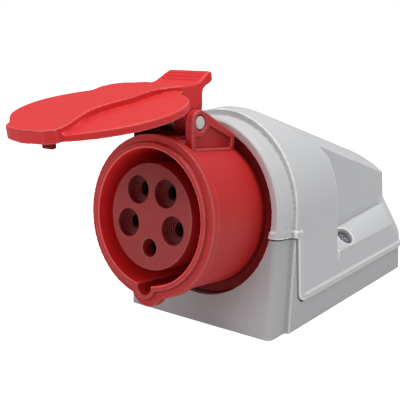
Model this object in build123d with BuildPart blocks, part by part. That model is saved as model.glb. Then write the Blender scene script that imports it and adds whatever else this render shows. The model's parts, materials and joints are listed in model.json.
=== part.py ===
from build123d import *
from math import cos, radians, sin, tan
import os

# Five-pole industrial wall socket, lid open, lying on its wall face.
# +Z points away from the wall, -Y is the side that the mouth faces.
# Origin: middle of the wall face. All lengths in millimetres.

# Housing
base_length = 115.0
side_room = 1.2
housing_height = 95.8
wall = 2.8
front_inset = 2.1
front_proud = 2.1
front_round = 3.0
step_back = 9.0
parting_height = 12.0
parting_below_axis = 7.5
lip_from_front = 17.0
lip_corner_radius = 5.0
bead_width = 3.5
bead_proud = 1.0
joint_gap = 0.6

# Roof and flanks
roof_break = 32.5
roof_slope = 21.4
roof_radius = 58.0
flank_from_front = 51.5
flank_draft = 2.0
block_inset = 9.8
ledge_top = 38.5
ledge_foot = 22.5
ledge_foot_inset = 0.9

# Cover screws, square to the sloping ledge
screw_from_front = 66.4
screw_down_ledge = 0.57
recess_radius = 4.2
recess_depth = 3.4
screw_head_radius = 3.9
screw_head_thickness = 2.2
screw_radius = 1.8
screw_length = 13.0
screw_boss_radius = 6.0
screw_boss_depth = 7.0
post_width = 11.0
post_inner = 21.0

# Wall fixing
fixing_across = 66.0
fixing_along = 88.0
fixing_radius = 2.7
fixing_boss_radius = 6.5
fixing_boss_height = 2.0
notch_width = 7.5
notch_height = 3.4
notch_depth = 14.0

# Socket axis
axis_tilt = 8.5
axis_rise = 51.9
mouth_radius = 29.4
barrel_wall = 4.0
lip_ahead = 38.3
lip_wall = 2.3
shoulder_ahead = 36.6
shoulder_depth = 4.0
shoulder_radius = 35.2
end_wall = 4.0
keyway_width = 8.0
keyway_depth = 4.4
keyway_wall = 1.8
shoulder_bump = 3.5

# Seat of the barrel in the housing
seat_lip = 3.0
opening_radius = 38.7
opening_clearance = 0.5
front_flange = 0.8
groove_radius = 40.6
groove_wall = 2.6
flange_thickness = 2.4
seal_thickness = 1.2
seal_width = 1.8
seat_clearance = 0.3
collar_back = 2.6
collar_bore = 35.5

# Contact carrier
carrier_radius = 22.9
carrier_ahead = 36.0
carrier_clearance = 0.2
carrier_collar_radius = 24.6
carrier_collar = 2.0
pitch_radius = 13.4
earth_pin_radius = 3.5
phase_pin_radius = 2.5
pin_clearance = 0.05
earth_mouth_radius = 4.0
phase_mouth_radius = 6.0
phase_step_radius = 4.7
mouth_step = 2.2
guide_clearance = 0.75
face_thickness = 6.4
sleeve_wall = 1.0
spring_thickness = 0.6
spring_width = 3.0
chamber_clearance = 0.3
shoulder_length = 3.0
retainer_radius = 29.0
retainer_thickness = 3.0
terminal_length = 11.0
wire_depth = 9.0
clamp_screw_radius = 1.3
clamp_head_radius = 2.1
centre_screw_radius = 1.9
carrier_screw_radius = 1.4
carrier_screw_pitch_radius = 26.4
carrier_screw_depth = 3.0

# Hinge
pin_radius = 2.75
pin_ahead = 26.2
pin_above = 41.0
ear_outer = 17.0
ear_thickness = 4.0
ear_radius = 5.4
hinge_side_clearance = 0.3
hinge_running_clearance = 0.05
push_clearance = 0.02
pin_recess_radius = 3.6
pin_recess_depth = 1.0

# Lid, by its height above the pin axis when its plate lies level
lid_open = 76.5
lid_radius = 36.1
lid_underside = 10.8
lid_top = 13.9
lid_ceiling = 12.4
skirt_wall = 2.2
panel_top = 16.0
tip_reach = 79.6
tip_wall = 1.5
lid_seal_width = 0.9
lid_edge_round = 0.6
tip_half = 12.7
tip_from = 25.0
tip_slant = 2.2
tip_corner = 2.6
arm_ahead = 5.2
arm_behind = 6.5
arm_cover = 6.8
crown_end = 4.0
tail_reach = 15.2
tail_top = 18.8
tail_round = 1.2
tail_taper = 2.2
knuckle_radius = 5.0
ridge_radius = 0.55
ridge_margin = 2.5
recess_corner = 3.0
spring_bay_radius = 7.4
spring_bay_half = 5.8
catch_half = 3.0
catch_near = 63.8
catch_far = 67.4
catch_drop = 5.6

# Torsion spring on the pin
coil_radius = 4.3
wire_radius = 0.5
coil_pitch = 1.5
coil_turns = 5.5
barrel_leg = 8.0
lid_leg = 4.6
leg_dip = 14.0

# Cable gland
entry_height = 29.0
thread_radius = 12.5
thread_clearance = 0.2
cable_radius = 6.5
gland_hex = 15.0
gland_collar = 4.5
gland_cap_length = 9.0
gland_wall = 2.5
locknut_thickness = 4.0

os.makedirs("parts", exist_ok=True)

# Directions of the socket axis and the frame along it.
# ahead(q) is the plane across the axis, q ahead of the housing's front,
# with local x across the socket and local y up along its face.
tilt = radians(axis_tilt)
axis_out = Vector(0, -cos(tilt), sin(tilt))
face_up = Vector(0, sin(tilt), cos(tilt))
front_foot = Vector(0, -base_length / 2, 0)
axis_origin = front_foot + face_up * axis_rise
mouth_plane = Plane(origin=axis_origin, x_dir=(1, 0, 0), z_dir=axis_out)
radial_plane = Plane(origin=axis_origin, x_dir=(1, 0, 0), z_dir=face_up * -1)
flank_plane = Plane(origin=axis_origin, x_dir=axis_out, z_dir=(-1, 0, 0))
mouth_axis = Axis(axis_origin, axis_out)

half_width = groove_radius + groove_wall + side_room
front_half_width = half_width - front_inset
block_half_width = half_width - block_inset
ledge_foot_half_width = half_width - ledge_foot_inset
barrel_radius = mouth_radius + barrel_wall
rear_end = base_length / 2
arch_centre = housing_height - half_width
tab_half = gland_hex + 4.0


def ahead(distance):
    return mouth_plane.offset(distance)


def turned(corners):
    """Solid of revolution about the socket axis from (radius, ahead) corners."""
    with BuildPart() as ring:
        with BuildSketch(radial_plane):
            with BuildLine():
                Polyline(*corners, close=True)
            make_face()
        revolve(axis=mouth_axis)
    return ring.part


def tube(inner, outer, back, front):
    """Ring about the socket axis between two radii and two stations."""
    return turned([(inner, back), (outer, back), (outer, front), (inner, front)])


def front_column(inset):
    """Arch over straight sides, across the socket axis, with a rounded front edge."""
    front_half = front_half_width - inset
    with BuildPart() as column:
        with BuildSketch(ahead(front_proud - inset)):
            Circle(front_half)
            with Locations((0, -axis_rise)):
                Rectangle(2 * front_half, 2 * axis_rise)
        extrude(amount=-(step_back + front_proud + wall))
        rim = column.faces().sort_by(mouth_axis)[-1].edges()
        fillet(rim.sort_by(Axis.Z)[1:], front_round - inset)
    return column.part


def housing_form(inset):
    """Outer form of the closed housing, drawn in evenly by an inset."""
    trunk_half = half_width - inset
    trunk_front = -step_back - inset
    with BuildPart() as form:
        # Arched trunk, run forward past the front and cut back on the tilt.
        with BuildSketch(Plane.XZ.offset(base_length)):
            with Locations((0, arch_centre)):
                Circle(trunk_half)
            with Locations((0, (arch_centre + inset) / 2)):
                Rectangle(2 * trunk_half, arch_centre - inset)
        extrude(amount=-(base_length + rear_end - inset))
        split(bisect_by=ahead(trunk_front), keep=Keep.BOTTOM)
        # Roof that falls towards the rear, itself a wide arch.
        slope = radians(roof_slope)
        crest = Vector(0, -rear_end + roof_break, housing_height - inset)
        drop = Vector(0, -sin(slope), -cos(slope)) * (roof_radius - inset)
        fall = Vector(0, cos(slope), -sin(slope))
        with BuildSketch(Plane(origin=crest + drop, x_dir=(-1, 0, 0), z_dir=fall)):
            Circle(roof_radius - inset)
            with Locations((0, -housing_height)):
                Rectangle(2 * (roof_radius - inset), 2 * housing_height)
        extrude(amount=2 * base_length, both=True, mode=Mode.INTERSECT)
        # Flanks cut back to a narrow block over a sloping ledge.
        run = ledge_foot_half_width - block_half_width
        fall_z = ledge_top - ledge_foot
        lean = (run**2 + fall_z**2) ** 0.5
        shift = inset * (lean - fall_z) / run
        block_half = block_half_width - inset
        foot_half = ledge_foot_half_width - inset
        lean_in = (2 * housing_height - ledge_top) * tan(radians(flank_draft))
        cut_front = -rear_end + flank_from_front - inset
        for side in (-1, 1):
            with BuildSketch(Plane.XZ.offset(-cut_front)):
                with BuildLine():
                    Polyline(
                        (side * (block_half - lean_in), 2 * housing_height),
                        (side * block_half, ledge_top - shift),
                        (side * foot_half, ledge_foot - shift),
                        (side * (foot_half + run), ledge_foot - shift - 2 * fall_z),
                        (side * 2 * half_width, ledge_foot),
                        (side * 2 * half_width, 2 * housing_height),
                        close=True,
                    )
                make_face()
            extrude(amount=-base_length, mode=Mode.SUBTRACT)
        add(front_column(inset))
        split(bisect_by=Plane.XY.offset(inset), keep=Keep.TOP)
    return form.part


def parting_block(rise):
    """Everything below the parting surface, which is raised by rise."""
    reach = 2 * base_length
    lip_y = -rear_end + lip_from_front + rise
    start = axis_origin + face_up * (rise - parting_below_axis)
    lip_z = start.Y * tan(tilt) + start.Z - lip_y * tan(tilt)
    front_z = start.Y * tan(tilt) + start.Z + reach * tan(tilt)
    with BuildPart() as block:
        with BuildSketch(Plane.YZ):
            with BuildLine():
                Polyline(
                    (-reach, -reach),
                    (reach, -reach),
                    (reach, parting_height + rise),
                    (lip_y, parting_height + rise),
                    (lip_y, lip_z),
                    (-reach, front_z),
                    close=True,
                )
            make_face()
        extrude(amount=half_width * 1.5, both=True)
        corner = block.edges().filter_by(Axis.X).filter_by_position(
            Axis.Z, parting_height + rise - 0.01, parting_height + rise + 0.01
        )
        fillet(corner.sort_by(Axis.Y)[0], lip_corner_radius - rise)
        # Tab of the base's rear wall that carries the cable entry.
        with BuildSketch(Plane.XZ.offset(-rear_end - bead_proud)):
            with Locations((0, entry_height)):
                Circle(tab_half + rise)
            with Locations((0, entry_height / 2)):
                Rectangle(2 * (tab_half + rise), entry_height)
        extrude(amount=wall + bead_proud + 0.5)
    return block.part


outer_form = housing_form(0)
inner_form = housing_form(wall)
bead_form = housing_form(-bead_proud)
cord_outer = housing_form(wall * 0.3)
cord_inner = housing_form(wall * 0.7)
lower_cut = parting_block(-joint_gap / 2)
upper_cut = parting_block(joint_gap / 2)
bead_cut = parting_block(bead_width)
cord_low = parting_block(-1.2)
cord_high = parting_block(1.2)

# Stations of the barrel's seat along the axis
flange_front = -seat_lip - seal_thickness
flange_back = flange_front - flange_thickness
groove_back = flange_back - seat_clearance
collar_end = groove_back - collar_back
seat_collar = tube(collar_bore, groove_radius + groove_wall, collar_end, front_proud)
seat_room = turned(
    [
        (0, collar_end - wall),
        (collar_bore, collar_end - wall),
        (collar_bore, groove_back),
        (groove_radius, groove_back),
        (groove_radius, -seat_lip),
        (opening_radius, -seat_lip),
        (opening_radius, front_proud + wall),
        (0, front_proud + wall),
    ]
)

# Cover screw frame on the right ledge and its mirror on the left
ledge_run = ledge_foot_half_width - block_half_width
ledge_fall = ledge_top - ledge_foot


def screw_plane(side, depth):
    """Plane square to the cover screw on one side, depth below the ledge."""
    place = Vector(
        side * (block_half_width + screw_down_ledge * ledge_run),
        -rear_end + screw_from_front,
        ledge_top - screw_down_ledge * ledge_fall,
    )
    out = Vector(side * ledge_fall, 0, ledge_run).normalized()
    return Plane(origin=place - out * depth, x_dir=(0, 1, 0), z_dir=out)


with BuildPart() as cover_seal:
    add(cord_outer)
    add(cord_inner, mode=Mode.SUBTRACT)
    add(cord_high, mode=Mode.INTERSECT)
    add(cord_low, mode=Mode.SUBTRACT)
    add(seat_room, mode=Mode.SUBTRACT)
cover_seal.part.label = "cover_seal"
export_step(cover_seal.part, "parts/cover_seal.step")

with BuildPart() as screw_posts:
    for side in (-1, 1):
        with BuildSketch(Plane.XZ.offset(rear_end - screw_from_front - post_width / 2)):
            with BuildLine():
                Polyline(
                    (side * post_inner, wall / 2),
                    (side * (half_width - wall - 4), wall / 2),
                    (side * (half_width - wall - 4), ledge_top),
                    (side * post_inner, ledge_top),
                    close=True,
                )
            make_face()
        extrude(amount=post_width)
    for side in (-1, 1):
        with BuildSketch(screw_plane(side, screw_boss_depth + joint_gap)):
            Rectangle(4 * post_width, 4 * half_width)
        extrude(amount=half_width, mode=Mode.SUBTRACT)
        with BuildSketch(screw_plane(side, 0)):
            Circle(screw_radius + pin_clearance)
        extrude(amount=-recess_depth - screw_length - 2, mode=Mode.SUBTRACT)

with BuildPart() as housing_base:
    add(outer_form)
    add(inner_form, mode=Mode.SUBTRACT)
    add(seat_collar)
    add(outer_form, mode=Mode.INTERSECT)
    add(seat_room, mode=Mode.SUBTRACT)
    add(lower_cut, mode=Mode.INTERSECT)
    add(cover_seal.part, mode=Mode.SUBTRACT)
    add(screw_posts.part)
    # Fixing bosses with their countersunk holes
    with BuildSketch(Plane.XY.offset(wall / 2)):
        with GridLocations(fixing_across, fixing_along, 2, 2):
            Circle(fixing_boss_radius)
    extrude(amount=wall / 2 + fixing_boss_height)
    with Locations((0, 0, wall + fixing_boss_height)):
        with GridLocations(fixing_across, fixing_along, 2, 2):
            CounterSinkHole(fixing_radius, fixing_radius * 1.8)
    # Cable entry through the rear tab
    with BuildSketch(Plane.XZ.offset(-rear_end - 1)):
        with Locations((0, entry_height)):
            Circle(thread_radius + thread_clearance)
    extrude(amount=wall + 2, mode=Mode.SUBTRACT)
    # Notch under the front edge
    with BuildSketch(Plane.XZ.offset(rear_end + 1)):
        with Locations((0, notch_height / 2)):
            Rectangle(notch_width, notch_height)
    extrude(amount=-notch_depth, mode=Mode.SUBTRACT)
housing_base.part.label = "housing_base"
export_step(housing_base.part, "parts/housing_base.step")

with BuildPart() as housing_cover:
    add(bead_form)
    add(bead_cut, mode=Mode.INTERSECT)
    add(outer_form)
    add(inner_form, mode=Mode.SUBTRACT)
    add(seat_collar)
    add(bead_form, mode=Mode.INTERSECT)
    add(seat_room, mode=Mode.SUBTRACT)
    for side in (-1, 1):
        with BuildSketch(screw_plane(side, wall / 2)):
            Circle(screw_boss_radius)
        extrude(amount=wall / 2 - screw_boss_depth)
        with BuildSketch(screw_plane(side, -wall)):
            Circle(recess_radius)
        extrude(amount=-wall - recess_depth, mode=Mode.SUBTRACT)
        with BuildSketch(screw_plane(side, 0)):
            Circle(screw_radius + seat_clearance)
        extrude(amount=-screw_boss_depth - wall, mode=Mode.SUBTRACT)
    add(upper_cut, mode=Mode.SUBTRACT)
    add(cover_seal.part, mode=Mode.SUBTRACT)
housing_cover.part.label = "housing_cover"
export_step(housing_cover.part, "parts/housing_cover.step")

with BuildPart() as cover_screws:
    for side in (-1, 1):
        with BuildSketch(screw_plane(side, recess_depth)):
            Circle(screw_head_radius)
        extrude(amount=screw_head_thickness)
        with BuildSketch(screw_plane(side, recess_depth)):
            Circle(screw_radius)
        extrude(amount=-screw_length)
        with BuildSketch(screw_plane(side, recess_depth - screw_head_thickness)):
            Rectangle(4.2, 1.0)
            Rectangle(1.0, 4.2)
        extrude(amount=-1.2, mode=Mode.SUBTRACT)
cover_screws.part.label = "cover_screws"
export_step(cover_screws.part, "parts/cover_screws.step")

# Socket body: barrel, mouth lip, keyway, hinge ears and rear flange
body_flange = opening_radius - opening_clearance
keyway_foot = mouth_radius + keyway_depth
keyway_half = keyway_width / 2
keyway_centre = keyway_half - keyway_foot
bump_half = keyway_half + keyway_wall
shoulder_back = shoulder_ahead - shoulder_depth
gap_floor = flange_back + end_wall
carrier_bore = carrier_radius + carrier_clearance
collar_seat = carrier_collar_radius + carrier_clearance
barrel_form = turned(
    [
        (collar_seat, flange_back),
        (groove_radius - seat_clearance, flange_back),
        (groove_radius - seat_clearance, flange_front),
        (body_flange, flange_front),
        (body_flange, flange_front + seal_thickness + front_flange),
        (barrel_radius, flange_front + seal_thickness + front_flange),
        (barrel_radius, shoulder_back),
        (shoulder_radius, shoulder_back),
        (shoulder_radius, shoulder_ahead),
        (mouth_radius + lip_wall, shoulder_ahead),
        (mouth_radius + lip_wall, lip_ahead),
        (mouth_radius, lip_ahead),
        (mouth_radius, gap_floor),
        (carrier_bore, gap_floor),
        (carrier_bore, flange_back + carrier_collar),
        (collar_seat, flange_back + carrier_collar),
    ]
)
mouth_room = tube(0, mouth_radius, gap_floor, lip_ahead + wall)
pin_place = (pin_ahead, pin_above)
ear_front = shoulder_back - 2
arm_half = ear_outer - ear_thickness - hinge_side_clearance
ear_rear = front_proud + seat_clearance
ear_rear_top = 36.2
ear_foot = mouth_radius - 1.4
pocket_depth = 1.8
gap_bed = mouth_radius + 2.2

with BuildPart() as socket_body:
    add(barrel_form)
    # Rounded rib under the barrel that holds the keyway, wider at the shoulder
    with BuildSketch(ahead(lip_ahead)):
        with Locations((0, keyway_centre)):
            Circle(bump_half)
    extrude(amount=flange_front - lip_ahead)
    with BuildSketch(ahead(shoulder_ahead)):
        with Locations((0, keyway_centre)):
            Circle(bump_half + shoulder_bump)
    extrude(amount=-shoulder_depth)
    with BuildSketch(ahead(lip_ahead + 1)):
        with Locations((0, keyway_centre)):
            Circle(keyway_half)
            Rectangle(keyway_width, keyway_width, align=(Align.CENTER, Align.MIN))
    extrude(amount=gap_floor - lip_ahead - 1, mode=Mode.SUBTRACT)
    # Sunk bed between the ears
    with BuildSketch(ahead(shoulder_back)):
        with Locations((0, gap_bed)):
            Rectangle(2 * arm_half, shoulder_radius, align=(Align.CENTER, Align.MIN))
    extrude(amount=ear_rear - shoulder_back + 9, mode=Mode.SUBTRACT)
    # Ears: the hull of a round eye and a long foot, with a pocket outside
    for side in (-1, 1):
        outer = -side * ear_outer
        with BuildSketch(flank_plane.offset(outer)):
            with Locations(pin_place):
                Circle(ear_radius)
            with BuildLine():
                Polyline(
                    (ear_front, ear_foot),
                    (ear_rear, ear_foot),
                    (ear_rear, ear_rear_top),
                    (ear_front, ear_rear_top),
                    close=True,
                )
            make_hull()
        extrude(amount=side * ear_thickness)
        with BuildSketch(flank_plane.offset(outer)):
            with BuildLine():
                Polyline(
                    (pin_ahead + 2.6, pin_above - 5.8),
                    (pin_ahead - 1.5, pin_above - 5.8),
                    (pin_ahead - 6.2, pin_above - 1.0),
                    (ear_rear + 2.6, ear_rear_top - 1.6),
                    (ear_rear + 2.6, barrel_radius - 3.2),
                    (pin_ahead + 2.6, barrel_radius - 3.2),
                    close=True,
                )
            make_face()
        extrude(amount=side * pocket_depth, mode=Mode.SUBTRACT)
        with BuildSketch(flank_plane.offset(outer)):
            with Locations(pin_place):
                Circle(pin_recess_radius)
        extrude(amount=side * pin_recess_depth, mode=Mode.SUBTRACT)
    add(mouth_room, mode=Mode.SUBTRACT)
    with BuildSketch(flank_plane):
        with Locations(pin_place):
            Circle(pin_radius + push_clearance)
    extrude(amount=2 * ear_outer, both=True, mode=Mode.SUBTRACT)
    # Blind holes for the two screws of the retaining plate
    with BuildSketch(ahead(flange_back)):
        with PolarLocations(carrier_screw_pitch_radius, 2):
            Circle(carrier_screw_radius + pin_clearance)
    extrude(amount=carrier_screw_depth + seat_clearance, mode=Mode.SUBTRACT)
socket_body.part.label = "socket_body"
export_step(socket_body.part, "parts/socket_body.step")

# Contacts: earth at the bottom, then every 72 degrees round the carrier
pole_names = ["earth_sleeve", "phase_sleeve_1", "phase_sleeve_2", "phase_sleeve_3", "neutral_sleeve"]
pole_step = 360 / len(pole_names)
carrier_back = flange_back
face_back = carrier_ahead - face_thickness
retainer_back = carrier_back - retainer_thickness
terminal_back = retainer_back - terminal_length
clamp_station = retainer_back - terminal_length * 0.55


def pole_angle(index):
    return -90 + index * pole_step


def pole_place(index):
    angle = radians(pole_angle(index))
    return (pitch_radius * cos(angle), pitch_radius * sin(angle))


def pin_bore(index):
    pin = earth_pin_radius if index == 0 else phase_pin_radius
    return pin + pin_clearance


def sleeve_radius(index):
    return pin_bore(index) + sleeve_wall


def chamber_radius(index):
    return sleeve_radius(index) + spring_thickness + chamber_clearance


def terminal_radius(index):
    return sleeve_radius(index) + spring_thickness


def clamp_plane(index):
    """Plane square to a clamping screw, on the terminal's own axis."""
    angle = radians(pole_angle(index))
    x, y = pole_place(index)
    outward = Vector(1, 0, 0) * cos(angle) + face_up * sin(angle)
    place = ahead(clamp_station).from_local_coords((x, y, 0))
    return Plane(origin=place, x_dir=axis_out, z_dir=outward)


# Carrier: a drum with five through chambers and a collar at its rear
with BuildPart() as contact_carrier:
    with BuildSketch(ahead(carrier_back)):
        Circle(carrier_radius)
    extrude(amount=face_back - carrier_back)
    with BuildSketch(ahead(carrier_back)):
        Circle(carrier_collar_radius)
    extrude(amount=carrier_collar)
    for index in range(len(pole_names)):
        with BuildSketch(ahead(carrier_back)):
            with Locations(pole_place(index)):
                Circle(chamber_radius(index))
        extrude(amount=face_back - carrier_back, mode=Mode.SUBTRACT)
    with BuildSketch(ahead(carrier_back)):
        Circle(centre_screw_radius + seat_clearance)
    extrude(amount=face_back - carrier_back, mode=Mode.SUBTRACT)
contact_carrier.part.label = "contact_carrier"
export_step(contact_carrier.part, "parts/contact_carrier.step")

# Face: the disc in front of the carrier with the stepped pin holes
with BuildPart() as contact_face:
    with BuildSketch(ahead(carrier_ahead)):
        Circle(carrier_radius)
        with Locations(pole_place(0)):
            Circle(earth_mouth_radius, mode=Mode.SUBTRACT)
        for index in range(1, len(pole_names)):
            with Locations(pole_place(index)):
                Circle(pin_bore(index) + guide_clearance, mode=Mode.SUBTRACT)
    extrude(amount=-face_thickness)
    for index in range(1, len(pole_names)):
        with BuildSketch(ahead(carrier_ahead)):
            with Locations(pole_place(index)):
                Circle(phase_mouth_radius)
        extrude(amount=-mouth_step, mode=Mode.SUBTRACT)
        with BuildSketch(ahead(carrier_ahead)):
            with Locations(pole_place(index)):
                Circle(phase_step_radius)
        extrude(amount=-2 * mouth_step, mode=Mode.SUBTRACT)
    with BuildSketch(ahead(face_back)):
        Circle(centre_screw_radius + pin_clearance)
    extrude(amount=face_thickness * 0.7, mode=Mode.SUBTRACT)
contact_face.part.label = "contact_face"
export_step(contact_face.part, "parts/contact_face.step")

sleeve_front = face_back - chamber_clearance
for index, name in enumerate(pole_names):
    with BuildPart() as sleeve:
        with BuildSketch(ahead(terminal_back)):
            with Locations(pole_place(index)):
                Circle(terminal_radius(index))
        extrude(amount=terminal_length + retainer_thickness)
        with BuildSketch(ahead(carrier_back)):
            with Locations(pole_place(index)):
                Circle(chamber_radius(index) - pin_clearance)
        extrude(amount=shoulder_length)
        with BuildSketch(ahead(carrier_back)):
            with Locations(pole_place(index)):
                Circle(sleeve_radius(index))
        extrude(amount=sleeve_front - carrier_back)
        # Bore for the pin, wire hole from the rear
        with BuildSketch(ahead(sleeve_front)):
            with Locations(pole_place(index)):
                Circle(pin_bore(index))
        extrude(amount=carrier_back - sleeve_front, mode=Mode.SUBTRACT)
        with BuildSketch(ahead(terminal_back)):
            with Locations(pole_place(index)):
                Circle(terminal_radius(index) - 2 * sleeve_wall)
        extrude(amount=wire_depth, mode=Mode.SUBTRACT)
        # Slot that lets the front of the sleeve close on the pin
        with BuildSketch(ahead(sleeve_front)):
            with Locations(Location((*pole_place(index), 0), (0, 0, pole_angle(index)))):
                Rectangle(0.8, 3 * sleeve_radius(index))
        extrude(amount=-(sleeve_front - flange_front) * 0.6, mode=Mode.SUBTRACT)
        with BuildSketch(clamp_plane(index)):
            Circle(clamp_screw_radius + pin_clearance)
        extrude(amount=2 * terminal_radius(index), mode=Mode.SUBTRACT)
    sleeve.part.label = name
    export_step(sleeve.part, "parts/" + name + ".step")

with BuildPart() as sleeve_springs:
    for index in range(len(pole_names)):
        with BuildSketch(ahead(sleeve_front - 2)):
            with Locations(pole_place(index)):
                Circle(sleeve_radius(index) + spring_thickness)
                Circle(sleeve_radius(index), mode=Mode.SUBTRACT)
            with Locations(Location((*pole_place(index), 0), (0, 0, pole_angle(index) + 90))):
                Rectangle(
                    6 * sleeve_radius(index),
                    1.2,
                    align=(Align.MIN, Align.CENTER),
                    mode=Mode.SUBTRACT,
                )
        extrude(amount=-spring_width)
sleeve_springs.part.label = "sleeve_springs"
export_step(sleeve_springs.part, "parts/sleeve_springs.step")

with BuildPart() as terminal_screws:
    for index in range(len(pole_names)):
        start = terminal_radius(index) - sleeve_wall * 2.2
        with BuildSketch(clamp_plane(index).offset(start)):
            Circle(clamp_screw_radius)
        extrude(amount=terminal_radius(index) - start + 1.2)
        with BuildSketch(clamp_plane(index).offset(terminal_radius(index) + 0.6)):
            Circle(clamp_head_radius)
        extrude(amount=1.8)
        with BuildSketch(clamp_plane(index).offset(terminal_radius(index) + 2.4)):
            Rectangle(3 * clamp_head_radius, 0.7)
        extrude(amount=-0.8, mode=Mode.SUBTRACT)
terminal_screws.part.label = "terminal_screws"
export_step(terminal_screws.part, "parts/terminal_screws.step")

with BuildPart() as contact_retainer:
    with BuildSketch(ahead(carrier_back)):
        Circle(retainer_radius)
        Circle(centre_screw_radius + seat_clearance, mode=Mode.SUBTRACT)
        with PolarLocations(carrier_screw_pitch_radius, 2):
            Circle(carrier_screw_radius + seat_clearance, mode=Mode.SUBTRACT)
        for index in range(len(pole_names)):
            with Locations(pole_place(index)):
                Circle(terminal_radius(index) + chamber_clearance / 2, mode=Mode.SUBTRACT)
    extrude(amount=-retainer_thickness)
contact_retainer.part.label = "contact_retainer"
export_step(contact_retainer.part, "parts/contact_retainer.step")

# Centre screw, from the retaining plate through the carrier into the face
with BuildPart() as centre_screw:
    with BuildSketch(ahead(retainer_back)):
        Circle(centre_screw_radius * 1.8)
    extrude(amount=-screw_head_thickness)
    with BuildSketch(ahead(retainer_back)):
        Circle(centre_screw_radius)
    extrude(amount=face_back + face_thickness * 0.6 - retainer_back)
    with BuildSketch(ahead(retainer_back - screw_head_thickness)):
        Rectangle(5 * centre_screw_radius, 1)
    extrude(amount=1, mode=Mode.SUBTRACT)
centre_screw.part.label = "centre_screw"
export_step(centre_screw.part, "parts/centre_screw.step")

with BuildPart() as carrier_screws:
    with BuildSketch(ahead(retainer_back)):
        with PolarLocations(carrier_screw_pitch_radius, 2):
            Circle(carrier_screw_radius * 1.8)
    extrude(amount=-2)
    with BuildSketch(ahead(retainer_back)):
        with PolarLocations(carrier_screw_pitch_radius, 2):
            Circle(carrier_screw_radius)
    extrude(amount=retainer_thickness + carrier_screw_depth)
    with BuildSketch(ahead(retainer_back - 2)):
        with PolarLocations(carrier_screw_pitch_radius, 2):
            Rectangle(5 * carrier_screw_radius, 0.8)
    extrude(amount=0.9, mode=Mode.SUBTRACT)
carrier_screws.part.label = "carrier_screws"
export_step(carrier_screws.part, "parts/carrier_screws.step")

with BuildPart() as flange_seal:
    seal_outer = groove_radius - seat_clearance
    add(tube(seal_outer - seal_width, seal_outer, flange_front, -seat_lip))
flange_seal.part.label = "flange_seal"
export_step(flange_seal.part, "parts/flange_seal.step")

# Hinge frame: lid_plane holds the open lid, local x across, local y towards
# the hinge's rear, and its normal is the lid's outer side.
swing = radians(lid_open)
pin_origin = mouth_plane.offset(pin_ahead).from_local_coords((0, pin_above, 0))
lid_out = axis_out * cos(swing) + face_up * sin(swing)
lid_forward = axis_out * sin(swing) - face_up * cos(swing)
lid_plane = Plane(origin=pin_origin, x_dir=(1, 0, 0), z_dir=lid_out)
lid_flank = Plane(origin=pin_origin, x_dir=lid_forward, z_dir=(-1, 0, 0))
recess_radius_lid = lid_radius - skirt_wall
recess_foot = tip_reach - tip_wall
recess_half = bump_half + 2 * seat_clearance + lid_seal_width

with BuildPart() as hinge_pin:
    with BuildSketch(flank_plane.offset(-ear_outer)):
        with Locations(pin_place):
            Circle(pin_radius)
    extrude(amount=2 * ear_outer)
    chamfer(hinge_pin.edges().filter_by(GeomType.CIRCLE), 0.4)
hinge_pin.part.label = "hinge_pin"
export_step(hinge_pin.part, "parts/hinge_pin.step")

def tip_corners():
    """Corners of the lid tip's front edge, from its right side to its left."""
    return [
        (tip_half, tip_corner - tip_reach),
        (tip_half - tip_corner, 0.5 - tip_reach),
        (tip_half * 0.1, -tip_reach),
        (tip_corner - tip_half, tip_slant - tip_reach),
        (-tip_half, tip_slant + tip_corner - tip_reach),
    ]


# Arm between the ears and thumb tail, drawn from the side
with BuildPart() as lid_arm:
    with BuildSketch(lid_flank.offset(-arm_half)):
        with BuildLine():
            heel = Line((-knuckle_radius, 0), (-knuckle_radius * 1.4, lid_underside * 0.45))
            neck = Spline(
                heel @ 1,
                (-arm_behind - 2.2, lid_underside + 1.2),
                (-tail_reach + 1.4, lid_top),
                tangents=(heel % 1, (-1, 0.2)),
            )
            tail_end = Polyline(
                neck @ 1,
                (-tail_reach, lid_top + 1),
                (-tail_reach, tail_top - 0.8),
                (-tail_reach + 1, tail_top),
            )
            crown = Spline(
                tail_end @ 1,
                (-arm_behind, panel_top - 0.5),
                (crown_end, panel_top),
                tangents=((1, -0.35), (1, 0)),
            )
            ridge_places = [crown @ share for share in (0.12, 0.24, 0.36)]
            Polyline(
                crown @ 1,
                (crown_end, lid_top),
                (arm_ahead + arm_cover, lid_top),
                (arm_ahead + arm_cover, lid_underside + 1),
                (arm_ahead, lid_underside),
                (arm_ahead - 0.4, lid_underside * 0.4),
                (knuckle_radius, 0),
            )
            ThreePointArc((knuckle_radius, 0), (0, -knuckle_radius), (-knuckle_radius, 0))
        make_face()
    extrude(amount=2 * arm_half)
    crown_sides = lid_arm.edges().filter_by(GeomType.BSPLINE).sort_by(Axis(pin_origin, lid_out))[-2:]
    fillet(crown_sides, tail_round)
    # The tail's left side is drawn in towards its end
    with BuildSketch(lid_plane.offset(lid_underside)):
        with BuildLine():
            Polyline(
                (-arm_half, tail_reach * 0.35),
                (tail_taper - arm_half, tail_reach - tail_taper),
                (2 * tail_taper - arm_half, tail_reach + 1),
                (-2 * arm_half, tail_reach + 1),
                close=True,
            )
        make_face()
    extrude(amount=2 * panel_top, mode=Mode.SUBTRACT)

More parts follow.
